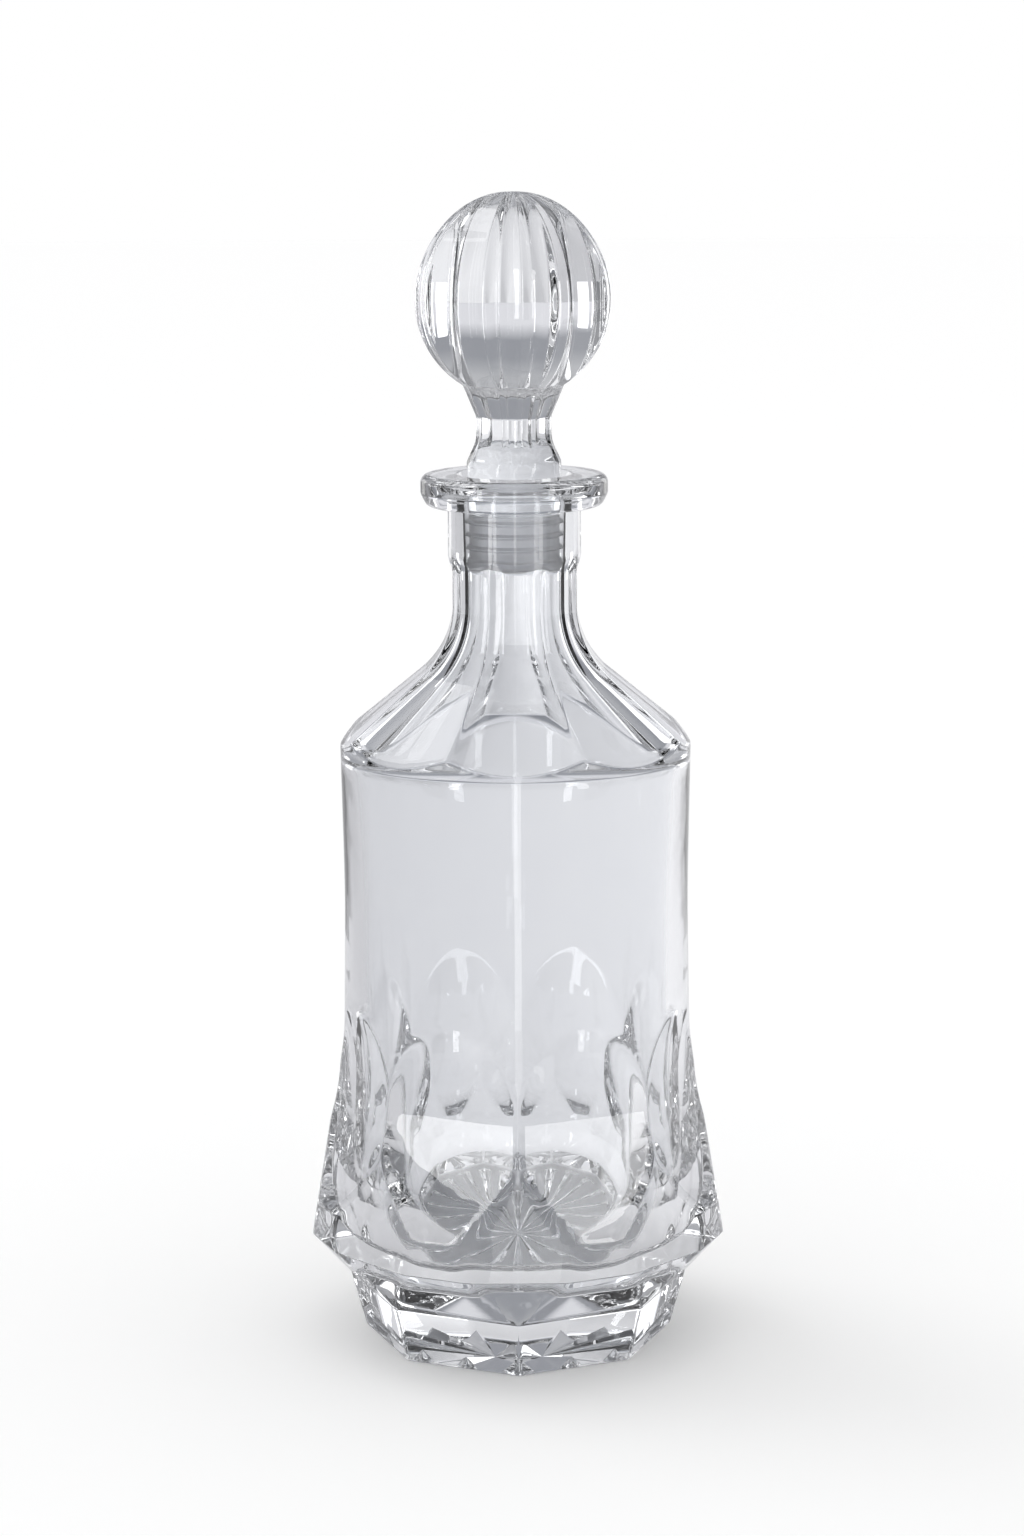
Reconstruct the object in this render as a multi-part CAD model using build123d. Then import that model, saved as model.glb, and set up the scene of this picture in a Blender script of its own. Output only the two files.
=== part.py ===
from build123d import *
import math
import os

# Wine decanter in clear pressed crystal with a solid ball stopper. Millimetres, +Z up.
# The origin is the middle of the foot's resting face, and -Y is the front.
# The foot and base have a corner at the front, and the shoulder has a flat panel there.

# Panels: the foot, the petals and the shoulder all have the same number of them.
panel_count = 8
panel_step = 360.0 / panel_count

# Foot: an octagon that widens upwards, measured across its flats from the axis.
foot_height = 15.0
foot_base_apothem = 37.5
foot_flare = 3.8
star_depth = 3.2
star_radius = 34.0
star_ray_half_angle = 5.6

# Base: a bevel spreads from the foot to the knee, the widest ring, with a low girdle above it.
# The spreads of the knee and of the kites are measured out from the round body.
bevel_height = 14.6
knee_spread = 8.4
knee_facet_half_width = 13.0
girdle_lean = 0.4

# Petals: one hollow over each flat, ground by the rim of a wheel.
petal_wheel_radius = 66.0
petal_middle_height = 76.0
petal_depth = 2.3

# Corner facets: a kite on each corner, which starts where two petals meet.
kite_top_height = 58.7
kite_top_spread = 3.7
kite_foot_spare = 0.3

# Body: smooth and round, with a slight waist and a hip where it starts to spread.
body_radius = 45.4
waist_depth = 0.8
hip_height = 79.5
shoulder_height = 157.8

# Shoulder and neck: eight panels sweep up into a neck with eight flats.
shoulder_slope = 41.0
neck_blend_radius = 25.0
neck_apothem = 15.9
neck_straight = 9.2
neck_runout = 4.0

# Collar and lip.
collar_radius = 17.05
collar_length = 11.5
lip_overhang = 6.9
lip_thickness = 8.1
lip_roundness = 2.2

# Glass walls.
base_thickness = 27.0
base_wall = 10.0
heel_wall = 5.9
heel_height = 38.2
heel_roundness = 50.0
waist_wall = 5.2
shoulder_wall = 4.0
floor_roundness = 4.0
inner_shoulder_roundness = 6.0

# Bore of the neck, and the seat in it for the stopper.
bore_radius = 12.4
seat_taper = 0.5
seat_length = 19.0
mouth_flare = 1.7
mouth_depth = 4.5

# Stopper seal: a ribbed cup of polyethylene on the stopper's peg.
seal_length = 13.2
seal_seat_inset = 0.3
seal_wall = 1.0
seal_rib_count = 4
seal_rib_half_height = 0.7
seal_rib_flat = 0.25
seal_seat_clearance = 0.05
seal_peg_clearance = 0.05
seal_groove = 0.75

# Stopper: peg, skirt, waist and fluted ball.
skirt_seal_gap = 0.3
skirt_radius = 12.1
skirt_rise = 3.2
stopper_waist_radius = 9.65
stopper_waist_rise = 8.6
stopper_waist_length = 6.0
stopper_waist_blend = 9.0
ball_radius = 25.1
ball_rise = 44.0
ball_point = 2.0
ball_apex_flat = 0.5
ball_neck_radius = 13.0
stopper_turn = 4.8
flute_margin = 0.4
flute_runout = 3.0

# Heights and sizes that follow from the ones above.
knee_height = foot_height + bevel_height
foot_top_apothem = foot_base_apothem + foot_flare
half_step = math.radians(panel_step / 2)
knee_radius = body_radius + knee_spread
kite_top_radius = body_radius + kite_top_spread
knee_apothem = knee_radius * math.cos(half_step) + knee_facet_half_width * math.sin(half_step)
petal_apothem = body_radius - petal_depth
waist_height = (hip_height + shoulder_height) / 2
slope = math.tan(math.radians(shoulder_slope))
neck_corner_height = shoulder_height + (body_radius - neck_apothem) * slope
blend_reach = neck_blend_radius * math.tan(math.radians(90 - shoulder_slope) / 2)
neck_top = neck_corner_height + blend_reach + neck_straight
collar_bottom = neck_top + neck_runout
lip_bottom = collar_bottom + collar_length
lip_top = lip_bottom + lip_thickness
lip_radius = collar_radius + lip_overhang
seat_bottom = lip_top - mouth_depth - seat_length
seat_top_radius = bore_radius + seat_taper
seal_bottom = seat_bottom + seal_seat_inset
seal_top = seal_bottom + seal_length
seal_core_radius = bore_radius - seal_groove
peg_radius = seal_core_radius - seal_wall - seal_peg_clearance
ball_height = lip_top + ball_rise
stopper_top = ball_height + ball_radius + ball_point


def outline(*corners):
    """Closed face in the XZ plane. A corner is its distance out, its height and its fillet."""
    points = [(out, 0, height) for out, height, _ in corners]
    return make_face(FilletPolyline(*points, radius=[fillet for _, _, fillet in corners], close=True))


def turned(*corners):
    """The outline turned into a round solid about Z."""
    return revolve(outline(*corners), Axis.Z)


def around(solid, count, first_angle):
    """Copies of a solid, evenly spaced about Z."""
    return [Rot(0, 0, first_angle + i * 360.0 / count) * solid for i in range(count)]


def cut_all(solid, tools):
    for tool in tools:
        solid = solid - tool
    return solid


def seat_radius_at(height):
    """Radius of the stopper's tapered seat in the neck at a height."""
    return bore_radius + seat_taper * (height - seat_bottom) / seat_length


def decanter_blank():
    """Round blank, a little larger than every panel, petal and facet that is cut from it."""
    base_radius = 1.1 * knee_apothem
    base_top = knee_height + 0.25 * (kite_top_height - knee_height)
    shoulder_spare = body_radius * (1 - math.cos(half_step)) * slope + 2.0
    return turned(
        (0, 0, 0),
        (base_radius, 0, 0),
        (base_radius, base_top, 0),
        (kite_top_radius + 0.1, kite_top_height, 0),
        (body_radius - 0.1, hip_height, 80.0),
        (body_radius - waist_depth, waist_height, 500.0),
        (body_radius, shoulder_height + shoulder_spare, 0),
        (collar_radius, neck_top - 2.0, 0),
        (collar_radius, lip_bottom, 0),
        (lip_radius - 1.6, lip_bottom, lip_roundness),
        (lip_radius, lip_bottom + 0.4 * lip_thickness, lip_roundness),
        (lip_radius, lip_top, lip_roundness),
        (0, lip_top, 0),
    )


def base_panel_cut():
    """What is cut away outside one flat of the foot, its bevel, the girdle and the petal."""
    far = 2 * knee_apothem
    girdle_apothem = knee_apothem - girdle_lean
    hollow_depth = girdle_apothem - petal_apothem
    hollow_reach = math.sqrt(hollow_depth * (2 * petal_wheel_radius - hollow_depth))
    below = Polyline(
        (far, 0, petal_middle_height + hollow_reach),
        (far, 0, -1),
        (foot_base_apothem - foot_flare / foot_height, 0, -1),
        (foot_top_apothem, 0, foot_height),
        (knee_apothem, 0, knee_height),
        (girdle_apothem, 0, petal_middle_height - hollow_reach),
    )
    hollow = ThreePointArc(
        below @ 1,
        (petal_apothem, 0, petal_middle_height),
        (girdle_apothem, 0, petal_middle_height + hollow_reach),
    )
    close = Line(hollow @ 1, below @ 0)
    return extrude(make_face(below + hollow + close), amount=far, dir=(0, 1, 0), both=True)


def corner_kite_cut():
    """What is cut away across one corner: a bevel that narrows to the foot, and a facet above."""
    far = 2 * knee_radius
    foot_corner = foot_top_apothem / math.cos(half_step) + kite_foot_spare
    face = outline(
        (far, kite_top_height, 0),
        (far, foot_height, 0),
        (foot_corner, foot_height, 0),
        (knee_radius, knee_height, 0),
        (kite_top_radius, kite_top_height, 0),
    )
    return extrude(face, amount=far, dir=(0, 1, 0), both=True)


def shoulder_panel_cut():
    """What is cut away outside one panel of the shoulder and the flat of the neck above it."""
    far = 1.3 * body_radius
    face = outline(
        (far, shoulder_height - (far - body_radius) * slope, 0),
        (neck_apothem, neck_corner_height, neck_blend_radius),
        (neck_apothem, neck_top, 2.0),
        (collar_radius + 1.0, collar_bottom - 1.0, 0),
        (far, collar_bottom - 1.0, 0),
    )
    return extrude(face, amount=far, dir=(0, 1, 0), both=True)


def cavity():
    """The space for the wine, the bore of the neck and the flared mouth."""
    inner_radius = body_radius - shoulder_wall
    wall_drop = shoulder_wall / math.cos(math.radians(shoulder_slope))
    inner_shoulder = shoulder_height - wall_drop + (body_radius - inner_radius) * slope
    inner_corner = shoulder_height - wall_drop + (body_radius - bore_radius) * slope
    inner_blend = neck_blend_radius + neck_apothem - bore_radius
    return turned(
        (0, base_thickness, 0),
        (body_radius - base_wall, base_thickness, floor_roundness),
        (body_radius - heel_wall, heel_height, heel_roundness),
        (body_radius - waist_depth - waist_wall, waist_height, 400.0),
        (inner_radius, inner_shoulder, inner_shoulder_roundness),
        (bore_radius, inner_corner, inner_blend),
        (bore_radius, seat_bottom, 0),
        (seat_top_radius, lip_top - mouth_depth, 3.0),
        (seat_top_radius + mouth_flare, lip_top + 0.5, 0),
        (0, lip_top + 0.5, 0),
    )


def star_ray():
    """One V-shaped ray of the star cut in the underside, deepest at the rim."""
    half_width = star_radius * math.tan(math.radians(star_ray_half_angle))
    section = make_face(
        Polyline(
            (star_radius, -half_width, 0),
            (star_radius, half_width, 0),
            (star_radius, 0, star_depth),
            (star_radius, -half_width, 0),
        )
    )
    return extrude_to_point(section, (0, 0, 0))


def extrude_to_point(face, point):
    """Pyramid from a triangular face to a point."""
    corners = [tuple(vertex) for vertex in face.vertices()]
    sides = [
        Face(Wire.make_polygon([corners[i], corners[(i + 1) % 3], point], close=True))
        for i in range(3)
    ]
    return Solid(Shell([face.faces()[0], *sides]))


def make_decanter_body():
    body = decanter_blank()
    body = cut_all(body, around(base_panel_cut(), panel_count, panel_step / 2))
    body = cut_all(body, around(corner_kite_cut(), panel_count, 0))
    body = cut_all(body, around(shoulder_panel_cut(), panel_count, 0))
    body = body - cavity()
    return cut_all(body, around(star_ray(), 2 * panel_count, 90))


def make_stopper_seal():
    """Cup with a closed end. Its ribs follow the taper of the seat."""
    rib_step = seal_length / seal_rib_count
    side = [(seal_core_radius, seal_bottom, 0.4)]
    for i in range(seal_rib_count):
        middle = seal_bottom + (i + 0.5) * rib_step
        crest = seat_radius_at(middle - seal_rib_flat / 2) - seal_seat_clearance
        side += [
            (seal_core_radius, middle - seal_rib_half_height, 0),
            (crest, middle - seal_rib_flat / 2, 0),
            (crest, middle + seal_rib_flat / 2, 0),
            (seal_core_radius, middle + seal_rib_half_height, 0),
        ]
    hole_radius = peg_radius + seal_peg_clearance
    return turned(
        (0, seal_bottom, 0),
        *side,
        (seal_core_radius, seal_top, 0.3),
        (hole_radius, seal_top, 0),
        (hole_radius, seal_bottom + seal_wall, 0),
        (0, seal_bottom + seal_wall, 0),
    )


def upper_profile(squeeze, spare, start):
    """Side of the stopper's waist and ball from a start point to the apex, squeezed sideways."""
    waist = squeeze * stopper_waist_radius + spare
    ball_start_out = squeeze * ball_neck_radius + spare
    ball_start = ball_height - math.sqrt(ball_radius**2 - ball_neck_radius**2)
    waist_bottom = lip_top + stopper_waist_rise
    neck = FilletPolyline(
        start,
        (waist, 0, waist_bottom),
        (waist, 0, waist_bottom + stopper_waist_length),
        (ball_start_out, 0, ball_start),
        radius=[stopper_waist_blend, 3.0],
    )
    lower = ThreePointArc(
        (ball_start_out, 0, ball_start),
        (squeeze * ball_radius * math.sin(math.radians(60)) + spare, 0, ball_height - ball_radius / 2),
        (squeeze * ball_radius + spare, 0, ball_height),
    )
    upper = ThreePointArc(
        (squeeze * ball_radius + spare, 0, ball_height),
        (squeeze * ball_radius * 0.735 + spare, 0, ball_height + 0.7 * ball_radius),
        (ball_apex_flat + spare, 0, stopper_top),
    )
    return neck + lower + upper


def stopper_blank():
    """Round blank of the stopper with its peg and skirt."""
    peg_bottom = seal_bottom + seal_wall + seal_peg_clearance
    skirt_bottom = seal_top + skirt_seal_gap
    skirt_top = lip_top + skirt_rise
    start = (skirt_radius, 0, skirt_top)
    foot = FilletPolyline(
        (0, 0, peg_bottom),
        (peg_radius, 0, peg_bottom),
        (peg_radius, 0, skirt_bottom),
        (skirt_radius - 0.2, 0, skirt_bottom),
        start,
        radius=[0.6, 0, 0.6],
    )
    side = upper_profile(1.0, flute_margin, start)
    top = Line((ball_apex_flat + flute_margin, 0, stopper_top), (0, 0, stopper_top))
    axis = Line((0, 0, stopper_top), (0, 0, peg_bottom))
    return revolve(make_face(foot + side + top + axis), Axis.Z)


def flute_cut(half_angle):
    """What is cut away outside one flute, from its pointed run-out on the skirt to the apex."""
    far = 2 * ball_radius
    squeeze = math.cos(math.radians(half_angle))
    start = (skirt_radius + flute_runout, 0, lip_top + skirt_rise - flute_runout)
    side = upper_profile(squeeze, 0, start)
    close = Polyline(
        (ball_apex_flat, 0, stopper_top),
        (ball_apex_flat, 0, stopper_top + 1),
        (far, 0, stopper_top + 1),
        (far, 0, start[2]),
        start,
    )
    return extrude(make_face(side + close), amount=far, dir=(0, 1, 0), both=True)


def make_stopper():
    """Four wide flutes, with a pair of narrow ones between each two."""
    wide = panel_step / 2
    narrow = panel_step / 4
    stopper = stopper_blank()
    stopper = cut_all(stopper, around(flute_cut(wide), 4, 45))
    stopper = cut_all(stopper, around(flute_cut(narrow), 4, narrow))
    stopper = cut_all(stopper, around(flute_cut(narrow), 4, -narrow))
    return Rot(0, 0, stopper_turn) * stopper


os.makedirs("parts", exist_ok=True)
pieces = {
    "decanter_body": make_decanter_body(),
    "stopper_seal": make_stopper_seal(),
    "stopper": make_stopper(),
}
for name, piece in pieces.items():
    export_step(piece, f"parts/{name}.step")
    print(name, round(piece.volume), piece.bounding_box().size)
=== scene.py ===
import math

import bpy
import numpy as np
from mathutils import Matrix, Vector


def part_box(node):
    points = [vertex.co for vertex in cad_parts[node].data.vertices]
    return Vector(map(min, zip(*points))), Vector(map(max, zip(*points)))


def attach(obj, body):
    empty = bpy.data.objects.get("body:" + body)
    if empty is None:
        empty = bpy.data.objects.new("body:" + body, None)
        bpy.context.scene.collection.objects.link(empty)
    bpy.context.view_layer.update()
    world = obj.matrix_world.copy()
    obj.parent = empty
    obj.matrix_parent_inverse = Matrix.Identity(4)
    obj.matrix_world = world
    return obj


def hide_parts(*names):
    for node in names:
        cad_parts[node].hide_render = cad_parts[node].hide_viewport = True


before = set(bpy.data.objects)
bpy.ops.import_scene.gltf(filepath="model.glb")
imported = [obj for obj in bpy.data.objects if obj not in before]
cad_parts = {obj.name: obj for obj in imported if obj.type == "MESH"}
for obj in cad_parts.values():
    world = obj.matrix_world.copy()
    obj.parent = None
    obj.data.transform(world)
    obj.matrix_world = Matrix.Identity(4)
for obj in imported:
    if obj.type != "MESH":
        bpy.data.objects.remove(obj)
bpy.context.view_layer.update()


# ---- Decanter body ----
# One piece of clear crystal glass, pressed and blown in a mould and then fire polished. It has an
# octagonal foot with a star beneath, a base of kites and hollow petals, a smooth round body, a
# panelled shoulder and neck, and a round lip. It stands by itself on the rim of the foot.

# Sizes of glass are in millimetres, and heights are from the table.
MM = 0.001
lip_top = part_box("decanter_body")[1][2] / MM
panel_half = math.radians(22.5)

foot_height = 15.0
foot_base_apothem = 37.5
foot_top_apothem = 41.3
foot_edge_roundness = 0.6
knee_height = 29.6
knee_radius = 53.8
knee_facet_half_width = 13.0
knee_apothem = knee_radius * math.cos(panel_half) + knee_facet_half_width * math.sin(panel_half)
girdle_apothem = knee_apothem - 0.4
girdle_rise = 12.0
girdle_top = 39.3
petal_wheel_radius = 66.0
petal_middle_height = 76.0
petal_apothem = 43.1
petal_top = 97.0
kite_top_height = 58.7
kite_top_radius = 49.1
kite_foot_spare = 0.3
body_radius = 45.4
hip_height = 79.5
hip_roundness = 80.0
waist_depth = 0.8
waist_roundness = 500.0
shoulder_height = 157.8
waist_height = (hip_height + shoulder_height) / 2
shoulder_slope = math.tan(math.radians(41.0))
neck_apothem = 15.9
neck_blend = 25.0
neck_runout = 4.0
neck_runout_roundness = 2.0
neck_corner_height = shoulder_height + (body_radius - neck_apothem) * shoulder_slope
collar_radius = 17.05
collar_length = 11.5
lip_thickness = 8.1
lip_roundness = 2.2
lip_bottom = lip_top - lip_thickness
lip_radius = collar_radius + 6.9
collar_bottom = lip_bottom - collar_length
neck_top = collar_bottom - neck_runout

base_thickness = 27.0
base_wall = 10.0
floor_roundness = 4.0
heel_wall = 5.9
heel_height = 38.2
heel_roundness = 50.0
waist_wall = 5.2
inner_waist_roundness = 400.0
shoulder_wall = 4.0
inner_shoulder_roundness = 6.0
bore_radius = 12.4
seat_top_radius = 12.9
seat_length = 19.0
mouth_depth = 4.5
mouth_flare = 1.7
mouth_roundness = 0.5
seat_bottom = lip_top - mouth_depth - seat_length

star_radius = 34.0
star_depth = 3.2
star_rays = 16
star_ray_half_angle = math.radians(5.6)
edge_softness = 0.35
ridge_softness = 0.8
half_panel_columns = 16
column_bunching = 0.8
row_bunching = 0.75
clear_of_glass = 99.0
above_the_lip = 400.0


def rounded_path(corners, spacing):
    """Points along a side outline. A corner is its distance out, its height and its fillet."""
    points = [np.array(corner[:2], float) for corner in corners]
    path = [points[0]]
    for before, corner, after, (_, _, radius) in zip(points, points[1:], points[2:], corners[1:]):
        back = (before - corner) / np.linalg.norm(before - corner)
        ahead = (after - corner) / np.linalg.norm(after - corner)
        angle = math.acos(np.clip(back @ ahead, -1, 1))
        if radius == 0 or angle > math.pi - 0.001:
            path.append(corner)
            continue
        reach = radius / math.tan(angle / 2)
        centre = corner + (back + ahead) / np.linalg.norm(back + ahead) * (radius / math.sin(angle / 2))
        start = math.atan2(*(corner + back * reach - centre)[::-1])
        end = math.atan2(*(corner + ahead * reach - centre)[::-1])
        turn = (end - start + math.pi) % (2 * math.pi) - math.pi
        steps = max(3, int(abs(turn) * radius / spacing) + 1, int(abs(turn) * 8) + 2)
        for share in np.linspace(0, 1, steps + 1):
            around = start + turn * share
            path.append(centre + radius * np.array([math.cos(around), math.sin(around)]))
    path.append(points[-1])
    return np.array(path)


def filled_in(path, spacing):
    """The same path with points added, so that no gap is wider than the spacing."""
    filled = [path[0]]
    for start, end in zip(path[:-1], path[1:]):
        steps = max(1, math.ceil(np.linalg.norm(end - start) / spacing))
        filled += [start + (end - start) * (step + 1) / steps for step in range(steps)]
    return np.array(filled)


def soft_min(first, second, reach):
    """The smaller of two distances, with a small fillet where they cross."""
    share = np.clip(0.5 + 0.5 * (second - first) / reach, 0, 1)
    return second * (1 - share) + first * share - reach * share * (1 - share)


def bunched(start, end, count, bunching):
    """Steps from start up to, but not with, the end, closer together at both ends."""
    share = np.arange(count) / count
    return start + (end - start) * (share - bunching * np.sin(2 * math.pi * share) / (2 * math.pi))


def facet_ring(apothem, angle, first_angle):
    """Distance out to eight flats at each angle, with rounded ridges between them."""
    off_middle = (angle - first_angle + panel_half) % (2 * panel_half) - panel_half
    own = apothem / np.cos(off_middle)
    neighbour = apothem / np.cos(2 * panel_half - np.abs(off_middle))
    return soft_min(own, neighbour, ridge_softness)


def side_rings(path, angles):
    """Round rings through the points of a side outline."""
    out = path[:, :1]
    return np.stack([out * np.cos(angles), out * np.sin(angles), path[:, 1:] + 0 * angles], -1)


def new_piece(name, points, faces):
    """An object in the scene with a mesh of these points, in metres, and faces."""
    mesh = bpy.data.meshes.new(name)
    mesh.from_pydata(points, [], faces)
    piece = bpy.data.objects.new(name, mesh)
    bpy.context.scene.collection.objects.link(piece)
    return piece


def turned_piece(name, rings):
    """Closed smooth piece through rings of points, from the bottom pole, up the outside and on."""
    rows, columns, _ = rings.shape
    row_starts = np.arange(rows - 1)[:, None] * columns
    first = row_starts + np.arange(columns)
    beside = row_starts + (np.arange(columns) + 1) % columns
    faces = np.stack([first, beside, beside + columns, first + columns], -1).reshape(-1, 4).tolist()
    points = (rings.reshape(-1, 3) * MM).tolist()
    points += [(rings[0].mean(0) * MM).tolist(), (rings[-1].mean(0) * MM).tolist()]
    start_pole, end_pole = len(points) - 2, len(points) - 1
    last_row = (rows - 1) * columns
    for column in range(columns):
        following = (column + 1) % columns
        faces.append([start_pole, following, column])
        faces.append([end_pole, last_row + column, last_row + following])
    piece = new_piece(name, points, faces)
    piece.data.shade_smooth()
    return piece


def petal_side(height):
    """Distance from the axis to the flats of the foot, bevel, girdle and hollow petal."""
    steps = [
        (0, foot_base_apothem),
        (foot_height, foot_top_apothem),
        (knee_height, knee_apothem),
        (knee_height + girdle_rise, girdle_apothem),
        (above_the_lip, girdle_apothem),
    ]
    flat = np.interp(height, *zip(*steps))
    reach = 0.98 * petal_wheel_radius
    off_middle = np.clip(height - petal_middle_height, -petal_wheel_radius, reach)
    hollow = petal_apothem + petal_wheel_radius - np.sqrt(petal_wheel_radius**2 - off_middle**2)
    return np.where(height > knee_height + 3, np.minimum(hollow, flat), flat)


def kite_side(height):
    """Distance from the axis to the kite on a corner: it is widest at the knee."""
    foot_corner = foot_top_apothem / math.cos(panel_half) + kite_foot_spare
    steps = [
        (foot_height, foot_corner),
        (knee_height, knee_radius),
        (kite_top_height, kite_top_radius),
        (kite_top_height + 1, kite_top_radius + 1),
        (kite_top_height + 40, clear_of_glass),
        (above_the_lip, clear_of_glass),
    ]
    return np.where(height < foot_height, clear_of_glass, np.interp(height, *zip(*steps)))


# Each corner of an outline is its distance out, its height and its fillet.
slope_start = 80.0
shoulder_outline = rounded_path([
    (slope_start, shoulder_height - (slope_start - body_radius) * shoulder_slope, 0),
    (neck_apothem, neck_corner_height, neck_blend),
    (neck_apothem, neck_top, neck_runout_roundness),
    (collar_radius + 1.2, collar_bottom - 0.5, 0),
], 0.3)
blank_radius = 60.0
blank_height = 36.0
collar_start = collar_bottom + 0.3
blank_outline = rounded_path([
    (blank_radius, 0, 0),
    (blank_radius, blank_height, 0),
    (kite_top_radius + 0.1, kite_top_height, 0),
    (body_radius - 0.1, hip_height, hip_roundness),
    (body_radius - waist_depth, waist_height, waist_roundness),
    (body_radius, shoulder_height + 5, 0),
    (collar_radius, neck_top - 2, 0),
    (collar_radius, collar_start, 0),
], 0.5)
lip_outline = rounded_path([
    (collar_radius, collar_start, 0),
    (collar_radius, lip_bottom, 0.5),
    (lip_radius - 1.6, lip_bottom, lip_roundness),
    (lip_radius, lip_bottom + 0.4 * lip_thickness, lip_roundness),
    (lip_radius, lip_top, lip_roundness),
    (seat_top_radius + mouth_flare, lip_top, mouth_roundness),
    (seat_top_radius, lip_top - mouth_depth, 0),
], 0.9)
inner_shoulder = shoulder_height - shoulder_wall / math.cos(math.atan(shoulder_slope))
inner_outline = rounded_path([
    (seat_top_radius + 0.1, lip_top - mouth_depth + 0.4, 0),
    (seat_top_radius, lip_top - mouth_depth, 0),
    (bore_radius, seat_bottom, 0),
    (bore_radius, inner_shoulder + (body_radius - bore_radius) * shoulder_slope,
     neck_blend + neck_apothem - bore_radius),
    (body_radius - shoulder_wall, inner_shoulder + shoulder_wall * shoulder_slope,
     inner_shoulder_roundness),
    (body_radius - waist_depth - waist_wall, waist_height, inner_waist_roundness),
    (body_radius - heel_wall, heel_height, heel_roundness),
    (body_radius - base_wall, base_thickness, floor_roundness),
    (0.6, base_thickness, 0),
], 2.4)

angles = np.concatenate([
    bunched(panel_half * k, panel_half * (k + 1), half_panel_columns, column_bunching) for k in range(16)])
close_rows_start = 153.0
close_rows_end = 167.0
heights = np.concatenate([
    bunched(0, foot_height, 12, row_bunching),
    bunched(foot_height, knee_height, 14, row_bunching),
    bunched(knee_height, girdle_top, 10, row_bunching),
    np.linspace(girdle_top, kite_top_height, 22, endpoint=False),
    np.linspace(kite_top_height, petal_top, 40, endpoint=False),
    np.linspace(petal_top, close_rows_start, 14, endpoint=False),
    np.linspace(close_rows_start, close_rows_end, 26, endpoint=False),
    np.linspace(close_rows_end, collar_bottom, 32),
])
angle_grid, height_grid = np.meshgrid(angles, heights)
round_side = np.interp(height_grid, blank_outline[:, 1], blank_outline[:, 0])
shoulder_side = np.interp(height_grid, shoulder_outline[:, 1], shoulder_outline[:, 0])
shoulder_side = np.where(height_grid > collar_bottom - 0.6, clear_of_glass, shoulder_side)
side = soft_min(facet_ring(petal_side(height_grid), angle_grid, panel_half), round_side, edge_softness)
side = soft_min(side, facet_ring(kite_side(height_grid), angle_grid, 0), edge_softness)
side = soft_min(side, facet_ring(shoulder_side, angle_grid, 0), edge_softness)
down_the_edge = np.clip(1 - height_grid / foot_edge_roundness, 0, 1)
side = side - foot_edge_roundness * (1 - np.sqrt(1 - down_the_edge**2))
outside = np.stack([side * np.cos(angle_grid), side * np.sin(angle_grid), height_grid], -1)

shares = np.concatenate([np.linspace(0.02, 0.78, 22), np.linspace(0.8, 0.99, 12)])[:, None]
under_radius = side[0] * shares
ray_step = 2 * math.pi / star_rays
off_ray = (angles + ray_step / 2) % ray_step - ray_step / 2
across_ray = np.clip(1 - np.abs(off_ray) / star_ray_half_angle, 0, 1)
groove = np.where(under_radius < star_radius, across_ray * star_depth * under_radius / star_radius, 0)
underside = np.stack([under_radius * np.cos(angles), under_radius * np.sin(angles), groove], -1)

lip_rings = side_rings(filled_in(lip_outline, 1.4)[1:-1], angles)
inner_rings = side_rings(filled_in(inner_outline, 3.2), angles)
decanter = turned_piece("decanter_glass", np.concatenate([underside, outside, lip_rings, inner_rings]))


def linear(hex_colour):
    """A colour written as sRGB hex, turned to the linear values that shaders use."""
    parts = [int(hex_colour[i:i + 2], 16) / 255 for i in (1, 3, 5)]
    return (*[part / 12.92 if part <= 0.04045 else ((part + 0.055) / 1.055) ** 2.4 for part in parts], 1)


def add_node(tree, kind, settings=(), links=()):
    """One shader node: settings are (socket or attribute, value), links are (socket, source)."""
    node = tree.nodes.new(kind)
    for key, value in settings:
        if isinstance(key, str) and hasattr(node, key):
            setattr(node, key, value)
        else:
            node.inputs[key].default_value = value
    for key, source in links:
        tree.links.new(source, node.inputs[key])
    return node


def new_material(name, settings):
    """A material, its node tree and its main shader, with these values on the shader's sockets."""
    material = bpy.data.materials.new(name)
    material.use_nodes = True
    shader = material.node_tree.nodes["Principled BSDF"]
    for socket, value in settings:
        shader.inputs[socket].default_value = value
    return material, material.node_tree, shader


# Lead-free crystal, pressed and fire polished. The eye gets a clear, faintly cool glass whose skin
# is smooth but never dead flat, so straight edges behind it waver a little.
ripple_width = 11 * MM
ripple_height = 0.03 * MM
crystal, tree, shader = new_material("pressed_crystal", [
    ("IOR", 1.53), ("Roughness", 0.0), ("Transmission Weight", 1.0)])
place = add_node(tree, "ShaderNodeTexCoord").outputs["Object"]
ripple = add_node(tree, "ShaderNodeTexNoise", [("Scale", 1 / ripple_width), ("Detail", 1.0)],
                  [("Vector", place)])
tint = add_node(tree, "ShaderNodeMix",
                [("data_type", "RGBA"), (6, linear("#F8F9FB")), (7, linear("#FBFCFD"))],
                [(0, ripple.outputs["Fac"])])
tree.links.new(tint.outputs[2], shader.inputs["Base Color"])
bump = add_node(tree, "ShaderNodeBump", [("Strength", 1.0), ("Distance", ripple_height)],
                [("Height", ripple.outputs["Fac"])])
tree.links.new(bump.outputs["Normal"], shader.inputs["Normal"])
decanter.data.materials.append(crystal)
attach(decanter, "decanter")
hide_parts("decanter_body")


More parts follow.
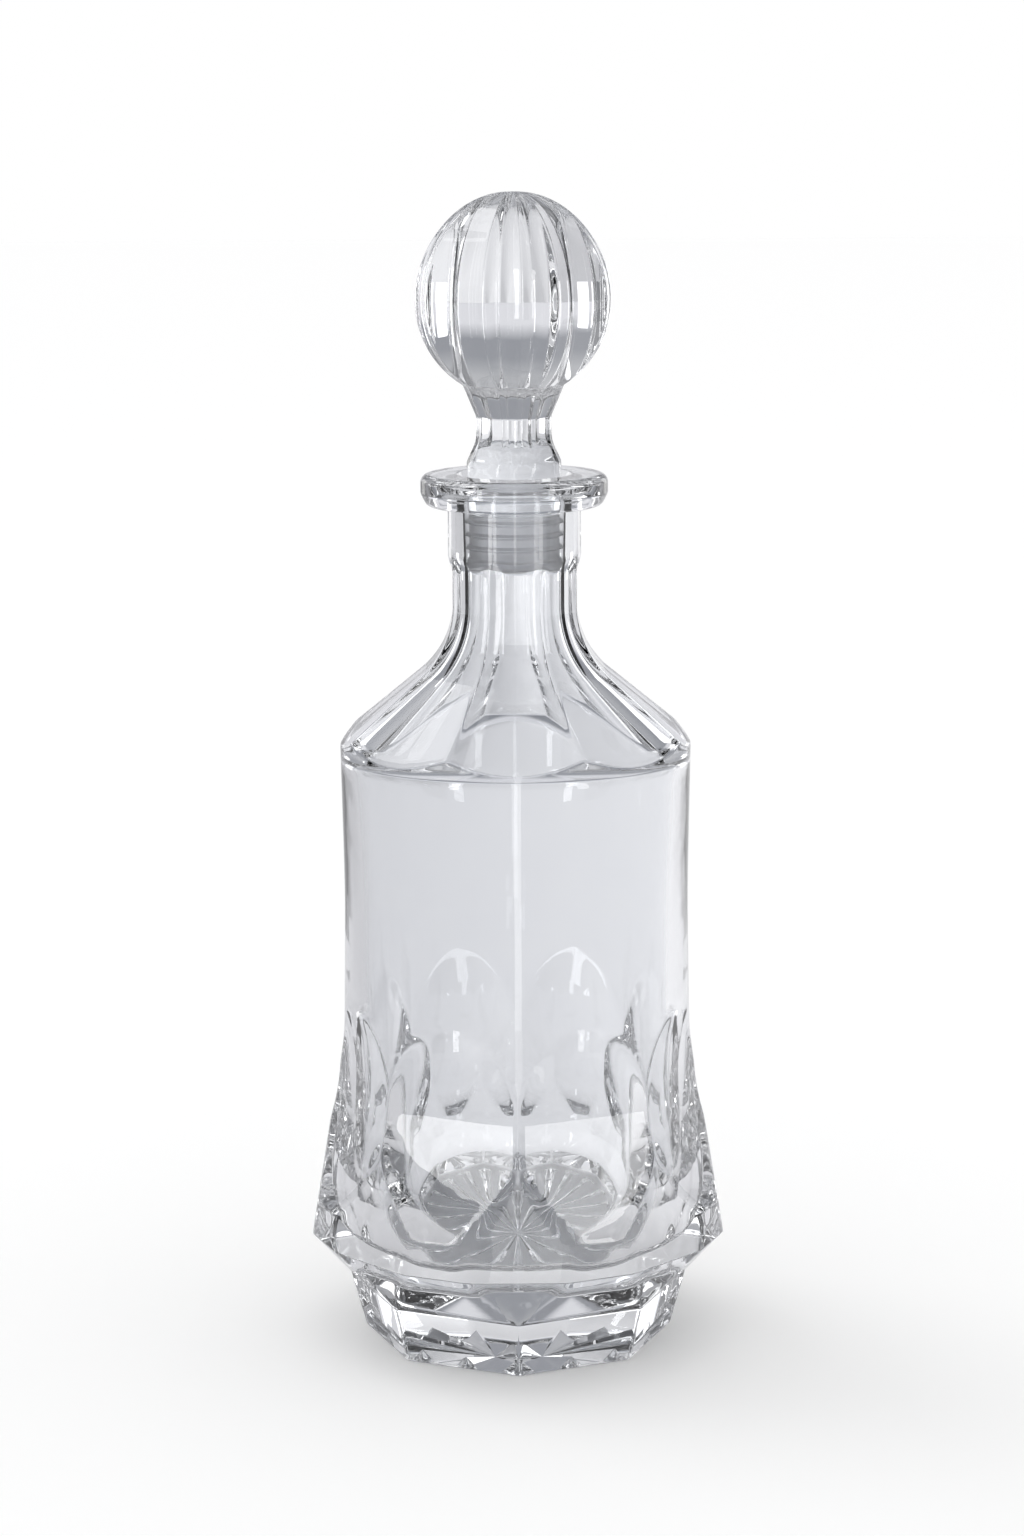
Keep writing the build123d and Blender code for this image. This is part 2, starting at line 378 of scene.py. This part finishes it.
# ---- Stopper seal ----
# A ribbed cup moulded in soft natural polyethylene, pushed over the stopper's peg. Its four ribs
# bear on the ground seat in the neck and hold the stopper by friction.
seal_low, seal_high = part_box("stopper_seal")
seal_bottom = seal_low[2] / MM
seal_top = seal_high[2] / MM
seal_rib_count = 4
seal_rib_half_height = 0.7
seal_rib_crest_half_height = 0.12
seal_rib_clearance = 0.06
seal_wall = 1.0
seal_core_radius = bore_radius - 0.75
peg_clearance = 0.05
peg_radius = seal_core_radius - seal_wall - peg_clearance
seal_inner_radius = peg_radius + peg_clearance
pole_radius = 0.5

rib_step = (seal_top - seal_bottom) / seal_rib_count
seal_corners = [(pole_radius, seal_bottom, 0), (seal_core_radius, seal_bottom, 0.4)]
for rib in range(seal_rib_count):
    middle = seal_bottom + (rib + 0.5) * rib_step
    seat_share = (middle - seat_bottom) / seat_length
    crest = bore_radius + (seat_top_radius - bore_radius) * seat_share - seal_rib_clearance
    seal_corners += [
        (seal_core_radius, middle - seal_rib_half_height, 0.2),
        (crest, middle - seal_rib_crest_half_height, 0.1),
        (crest, middle + seal_rib_crest_half_height, 0.1),
        (seal_core_radius, middle + seal_rib_half_height, 0.2),
    ]
seal_corners += [
    (seal_core_radius, seal_top, 0.3),
    (seal_inner_radius, seal_top, 0.1),
    (seal_inner_radius, seal_bottom + seal_wall, 0),
    (pole_radius, seal_bottom + seal_wall, 0),
]
seal_path = filled_in(rounded_path(seal_corners, 0.15), 1.0)
seal_angles = np.linspace(0, 2 * math.pi, 128, endpoint=False)
seal = turned_piece("stopper_sleeve", side_rings(seal_path, seal_angles))

# Natural low-density polyethylene, injection moulded. The eye gets a milky, waxy white that
# lets a blurred glow through, with faint clouds a few millimetres wide.
cloud_width = 3 * MM
polyethylene, tree, shader = new_material("natural_polyethylene", [
    ("IOR", 1.51), ("Roughness", 0.32), ("Transmission Weight", 1.0)])
place = add_node(tree, "ShaderNodeTexCoord").outputs["Object"]
clouds = add_node(tree, "ShaderNodeTexNoise", [("Scale", 1 / cloud_width), ("Detail", 3.0)],
                  [("Vector", place)])
tint = add_node(tree, "ShaderNodeMix",
                [("data_type", "RGBA"), (6, linear("#FCFCFD")), (7, linear("#FFFFFF"))],
                [(0, clouds.outputs["Fac"])])
tree.links.new(tint.outputs[2], shader.inputs["Base Color"])
seal.data.materials.append(polyethylene)
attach(seal, "seal")
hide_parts("stopper_seal")


# ---- Stopper ----
# A solid piece of the same pressed crystal, with a round peg that holds the seal, a narrow waist
# and a ball. The ball has four wide flat flutes, with a pair of narrow hollow ones between each
# two. They run up from the skirt and meet in a low point.
stopper_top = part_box("stopper")[1][2] / MM
ball_radius = 25.1
ball_point_rise = 2.0
ball_fullness = 0.06
ball_height = stopper_top - ball_radius - ball_point_rise
ball_neck_radius = 13.0
ball_neck_height = ball_height - math.sqrt(ball_radius**2 - ball_neck_radius**2)
waist_radius = 9.65
waist_bottom = lip_top + 8.6
waist_length = 6.0
skirt_radius = 12.1
skirt_top = lip_top + 3.2
apex_flat = 0.5
stopper_turn = math.radians(4.8)
flute_start = lip_top + 2.0
flute_full = lip_top + 7.5
flute_ridge_softness = 0.022
narrow_flute_hollow = 0.9
narrow_flute_columns = 16
wide_flute_columns = 32

peg_bottom = seal_bottom + seal_wall + peg_clearance
peg_top = seal_top + 0.3
peg_outline = rounded_path([
    (pole_radius, peg_bottom, 0),
    (peg_radius, peg_bottom, 0.6),
    (peg_radius, peg_top, 0.4),
    (skirt_radius - 0.2, peg_top, 0.6),
    (skirt_radius, skirt_top, 0),
], 0.4)
waist_outline = rounded_path([
    (skirt_radius, skirt_top, 0),
    (waist_radius, waist_bottom, 9),
    (waist_radius, waist_bottom + waist_length, 3),
    (ball_neck_radius, ball_neck_height, 0),
], 0.5)
turn = np.linspace(-math.acos(ball_neck_radius / ball_radius), 0, 40)[1:]
lower_ball = np.stack([ball_radius * np.cos(turn), ball_height + ball_radius * np.sin(turn)], 1)
turn = np.linspace(0, math.pi / 2, 48)[1:]
rise = (stopper_top - ball_height) * np.sin(turn) ** (1.0 + ball_fullness * np.sin(2 * turn))
upper_ball = np.stack([apex_flat + (ball_radius - apex_flat) * np.cos(turn), ball_height + rise], 1)
stopper_path = np.concatenate([
    filled_in(peg_outline, 1.2), filled_in(waist_outline, 0.9)[1:], lower_ball, upper_ball])

# The edges of one quarter's flutes: narrow, wide, narrow.
quarter = (0, 22.5, 67.5)
flute_edges = np.radians([90 * k + edge for k in range(4) for edge in quarter] + [360])
widths = np.diff(flute_edges)
is_narrow = widths < math.radians(30)
columns_each = np.where(is_narrow, narrow_flute_columns, wide_flute_columns)
flute_angles = np.concatenate([
    bunched(edge, edge + width, count, column_bunching)
    for edge, width, count in zip(flute_edges, widths, columns_each)])
flute = np.repeat(np.arange(len(widths)), columns_each)
half_width = widths / 2
off_middle = flute_angles - (flute_edges[:-1] + half_width)[flute]
beside = np.where(off_middle > 0, flute + 1, flute - 1) % len(widths)
to_edge = half_width[flute] - np.abs(off_middle)
flat = np.cos(half_width[flute]) / np.cos(off_middle)
neighbour = np.cos(half_width[beside]) / np.cos(half_width[beside] + to_edge)
hollow = np.where(is_narrow, narrow_flute_hollow, 0) / ball_radius
hollow_here = hollow[flute] * (1 - (off_middle / half_width[flute]) ** 2)
cut_share = soft_min(flat - hollow_here, neighbour, flute_ridge_softness)
fading = np.interp(stopper_path[:, 1], [flute_start, flute_full], [0, 1])[:, None]
out = stopper_path[:, :1] * (1 + (cut_share - 1) * fading)
turned_angles = flute_angles + stopper_turn
rings = [out * np.cos(turned_angles), out * np.sin(turned_angles), stopper_path[:, 1:] + 0 * turned_angles]
stopper = turned_piece("stopper_glass", np.stack(rings, -1))
stopper.data.materials.append(crystal)
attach(stopper, "stopper")
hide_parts("stopper")


# ---- Table ----
# A plain white table top, big enough to run on into the white room, so that no horizon shows. It
# is matt paper, and it lies a hair below the foot. The glass sees a painted shade on it, pale grey
# and darker to the left, so that the clear body stands out grey against white.
table_size = 12.0
table_gap = 0.0001
edge = table_size / 2
table = new_piece("table_top", [
    (-edge, -edge, -table_gap),
    (edge, -edge, -table_gap),
    (edge, edge, -table_gap),
    (-edge, edge, -table_gap),
], [(0, 1, 2, 3)])
paper, tree, shader = new_material("matt_white_paper", [("Roughness", 0.9), ("Specular IOR Level", 0.1)])
across = add_node(tree, "ShaderNodeSeparateXYZ", [],
                  [("Vector", add_node(tree, "ShaderNodeTexCoord").outputs["Object"])])
# Painted shade that only the glass sees: darker grey on the left, paler grey on the right.
painted_shade_ramp = add_node(tree, "ShaderNodeMapRange", [("From Min", -0.25), ("From Max", 0.25)],
                       [("Value", across.outputs["X"])])
painted_shade_in_glass = add_node(tree, "ShaderNodeMix",
                        [("data_type", "RGBA"), (6, linear("#C8C8CB")), (7, linear("#EEEEF0"))],
                        [(0, painted_shade_ramp.outputs["Result"])])
direct = add_node(tree, "ShaderNodeLightPath").outputs["Is Camera Ray"]
seen = add_node(tree, "ShaderNodeMix", [("data_type", "RGBA"), (7, linear("#F9F9F9"))],
                [(0, direct), (6, painted_shade_in_glass.outputs[2])])
tree.links.new(seen.outputs[2], shader.inputs["Base Color"])
table.data.materials.append(paper)


# ---- Studio light ----
# The camera and the table see a plain white room. The glass sees a grey one, pale behind at table
# height, with a soft darker band above that, dark at the sides and mid grey in front. A soft sun
# from the left and behind throws the shadow to the right.
room_behind = linear("#E4E4E8")
room_band = linear("#96989E")
room_beside = linear("#4A4B4E")
room_in_front = linear("#8A8B8E")
room_overhead = linear("#B8B9BC")
world = bpy.data.worlds.new("studio_room")
bpy.context.scene.world = world
world.use_nodes = True
tree = world.node_tree
direction = add_node(tree, "ShaderNodeSeparateXYZ", [],
                     [("Vector", add_node(tree, "ShaderNodeTexCoord").outputs["Generated"])])
upwards = add_node(tree, "ShaderNodeValToRGB", [], [("Fac", direction.outputs["Z"])])
steps = upwards.color_ramp.elements
steps[0].position, steps[0].color = 0.10, room_behind
steps[1].position, steps[1].color = 0.60, room_overhead
steps.new(0.22).color = room_band
steps.new(0.38).color = room_band
front = add_node(tree, "ShaderNodeMapRange", [("From Min", 0.0), ("From Max", -1.0)],
                 [("Value", direction.outputs["Y"])])
near_walls = add_node(tree, "ShaderNodeMix",
                      [("data_type", "RGBA"), (6, room_beside), (7, room_in_front)],
                      [(0, front.outputs["Result"])])
back = add_node(tree, "ShaderNodeMapRange", [("From Min", 0.15), ("From Max", 0.6)],
                [("Value", direction.outputs["Y"])])
room = add_node(tree, "ShaderNodeMix", [("data_type", "RGBA")],
                [(0, back.outputs["Result"]), (6, near_walls.outputs[2]), (7, upwards.outputs["Color"])])
path = add_node(tree, "ShaderNodeLightPath")
seen = add_node(tree, "ShaderNodeMath", [("operation", "MAXIMUM")],
                [(0, path.outputs["Is Camera Ray"]), (1, path.outputs["Diffuse Depth"])])
lit = add_node(tree, "ShaderNodeMix", [("data_type", "RGBA"), (7, (1, 1, 1, 1))],
               [(0, seen.outputs["Value"]), (6, room.outputs[2])])
tree.links.new(lit.outputs[2], tree.nodes["Background"].inputs["Color"])

sun = bpy.data.lights.new("soft_sun", "SUN")
sun.energy = 0.4
sun.angle = math.radians(35)
sun_object = bpy.data.objects.new("soft_sun", sun)
sun_object.rotation_euler = (math.radians(-20), math.radians(-38), 0)
bpy.context.scene.collection.objects.link(sun_object)


def card(name, around, distance, width, bottom, top, brightness):
    """An upright card that only the glass sees, in metres. It stands around by so many degrees:
    0 is in front and 90 to the right."""
    angle = math.radians(around)
    left, right = -width / 2, width / 2
    piece = new_piece(name, [(left, 0, bottom), (right, 0, bottom), (right, 0, top), (left, 0, top)],
                      [(0, 1, 2, 3)])
    piece.location = (distance * math.sin(angle), -distance * math.cos(angle), 0)
    piece.rotation_euler = (0, 0, angle)
    material, tree, _ = new_material(name, [])
    tree.nodes.clear()
    glow = add_node(tree, "ShaderNodeEmission", [("Color", linear("#FFFFFF")), ("Strength", brightness)])
    add_node(tree, "ShaderNodeOutputMaterial", [], [("Surface", glow.outputs["Emission"])])
    piece.data.materials.append(material)
    piece.visible_camera = False
    piece.visible_diffuse = False
    piece.visible_shadow = False


for number, around in enumerate((-68, 68, -112, 112)):
    card(f"black_flag_{number}", around, 0.9, 0.36, 0.0, 1.2, 0.01)
card("strip_light_in_front", 1, 0.36, 0.03, 0.0, 0.4, 2.2)
card("strip_light_left", -42, 0.95, 0.12, 0.0, 0.8, 6.0)
card("strip_light_right", 46, 0.95, 0.14, 0.0, 0.8, 4.5)
card("window_left", -148, 1.3, 0.30, 0.02, 0.5, 1.5)
card("window_right", 150, 1.3, 0.30, 0.02, 0.6, 1.7)

# Light passes through many walls of glass, so the paths are long.
scene = bpy.context.scene
scene.view_settings.view_transform = "Standard"
scene.cycles.max_bounces = 32
scene.cycles.transmission_bounces = 28
scene.cycles.glossy_bounces = 12
scene.cycles.diffuse_bounces = 3


# ---- Camera ----
# A long lens a little above the top of the stopper, tilted down and very slightly to one side.
camera_distance = 0.926
camera_height = 0.331
camera_tilt = math.radians(11)
camera_roll = math.radians(0.3)
camera = bpy.data.cameras.new("camera")
camera.lens = 85.3
camera.sensor_width = 36
camera.clip_start = 0.01
camera_object = bpy.data.objects.new("camera", camera)
camera_object.location = (0, -camera_distance, camera_height)
camera_object.rotation_euler = (math.pi / 2 - camera_tilt, camera_roll, 0)
scene.collection.objects.link(camera_object)
scene.camera = camera_object
